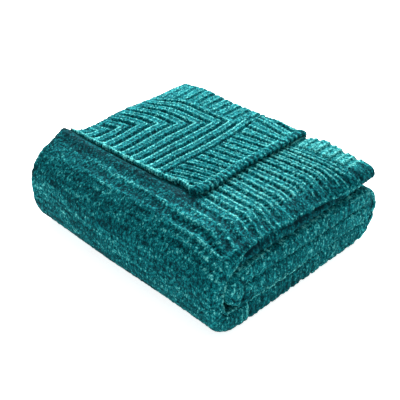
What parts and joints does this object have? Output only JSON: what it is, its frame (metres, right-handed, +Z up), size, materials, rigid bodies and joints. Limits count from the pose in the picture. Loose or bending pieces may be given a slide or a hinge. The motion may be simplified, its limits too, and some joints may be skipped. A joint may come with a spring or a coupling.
{
  "type": "folded throw blanket",
  "caption": "Chunky chenille knit throw folded into a soft block, with one end turned up on top to show its mitred ribs.",
  "frame": {"origin": "centre of the folded block's footprint, on the surface it lies on", "axes": "+X along the folded length towards the rolled edges, +Y from the big fold to the free end, +Z up"},
  "size_m": [0.4168, 0.3572, 0.1515],
  "materials": {
    "throw": "soft chenille knit, matt with a velvet sheen"
  },
  "bodies": {
    "root": {"throw": "throw"}
  },
  "joints": []
}
